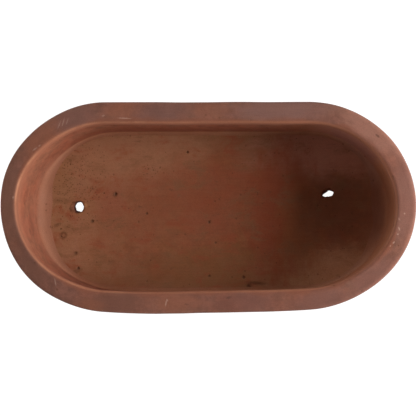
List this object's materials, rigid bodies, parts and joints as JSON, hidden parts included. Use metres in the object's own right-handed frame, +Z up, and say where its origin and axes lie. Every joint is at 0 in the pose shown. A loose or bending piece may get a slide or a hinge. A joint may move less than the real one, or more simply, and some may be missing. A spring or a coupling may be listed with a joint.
{
  "type": "bonsai pot",
  "caption": "Shallow oval bonsai pot of unglazed red-brown stoneware, slab built, with a rounded rim, drain holes through the floor and low feet.",
  "frame": {"origin": "on the surface that the pot stands on, under the middle of the pot", "axes": "+X along the pot's length to its right end, +Y to its back, +Z up; the front is -Y"},
  "size_m": [0.305, 0.154, 0.076],
  "materials": {
    "floor_clay": "matt",
    "wall_clay": "matt",
    "coil_clay": "matt",
    "rim_clay": "matt",
    "foot_clay": "matt"
  },
  "bodies": {
    "root": {"floor_slab": "floor_clay", "wall_front": "wall_clay", "wall_back": "wall_clay", "wall_left_end": "wall_clay", "wall_right_end": "wall_clay", "corner_coil_left_half": "coil_clay", "corner_coil_right_half": "coil_clay", "rim_left_half": "rim_clay", "rim_right_half": "rim_clay", "foot_front_left": "foot_clay", "foot_front_right": "foot_clay", "foot_back_left": "foot_clay", "foot_back_right": "foot_clay"}
  },
  "joints": []
}
